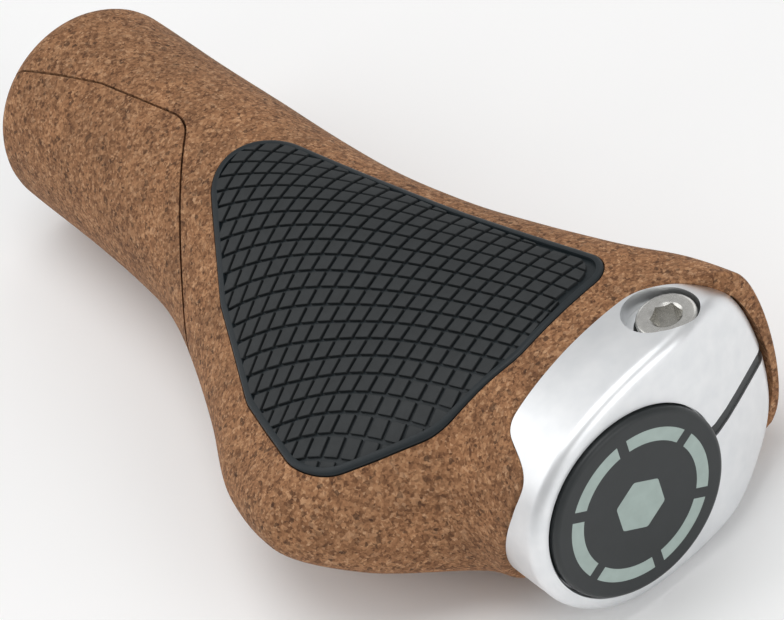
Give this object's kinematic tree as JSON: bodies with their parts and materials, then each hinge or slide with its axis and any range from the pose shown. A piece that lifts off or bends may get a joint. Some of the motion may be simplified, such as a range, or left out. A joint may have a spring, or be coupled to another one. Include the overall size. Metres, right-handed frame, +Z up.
{
  "type": "handlebar grip",
  "caption": "Right-hand winged cork handlebar grip with a rubber palm pad, a bolted split clamp ring and a bar end plug.",
  "frame": {"origin": "on the handlebar's axis at the grip's inboard end", "axes": "+X along the bar, outboard; +Y towards the front of the bicycle, with the palm wing towards -Y; +Z up, along the clamp bolt towards its head"},
  "size_m": [0.135, 0.0687, 0.0367],
  "materials": {
    "cork": "matt moulded cork granulate, mixed tan and dark brown grains",
    "cork_panel": "matt moulded cork granulate",
    "rubber": "satin soft rubber with a raised diamond tread",
    "core": "glass-filled nylon, black",
    "clamp": "bead-blasted and anodised, satin silver",
    "steel": "stainless, plain",
    "bolt": "bright zinc-plated steel",
    "plug": "fine satin moulded plastic, dark grey",
    "emblem": "flat print, pale grey-green"
  },
  "bodies": {
    "grip": {"cork_body": "cork", "cork_panel": "cork_panel", "rubber_pad": "rubber", "core_sleeve": "core", "clamp_ring": "clamp", "thread_insert": "steel"},
    "washer": {"bolt_washer": "steel"},
    "bolt": {"clamp_bolt": "bolt"},
    "plug": {"end_plug": "plug", "plug_emblem": "emblem"}
  },
  "joints": [
    {"name": "bolt_lift", "type": "slide", "parent": "grip", "child": "washer", "axis": [0, 0, 1], "range_m": [0, 0.0056]},
    {"name": "bolt_turn", "type": "hinge", "parent": "washer", "child": "bolt", "pos_m": [0.1271, 0.0162, 0.0129], "axis": [0, 0, 1], "range_deg": [0, 2520]},
    {"name": "plug_pull", "type": "slide", "parent": "grip", "child": "plug", "axis": [1, 0, 0], "range_m": [0, 0.012]}
  ],
  "couplings": [
    {"joint": "bolt_turn", "follows": "bolt_lift", "rad_per_m": 7854}
  ]
}
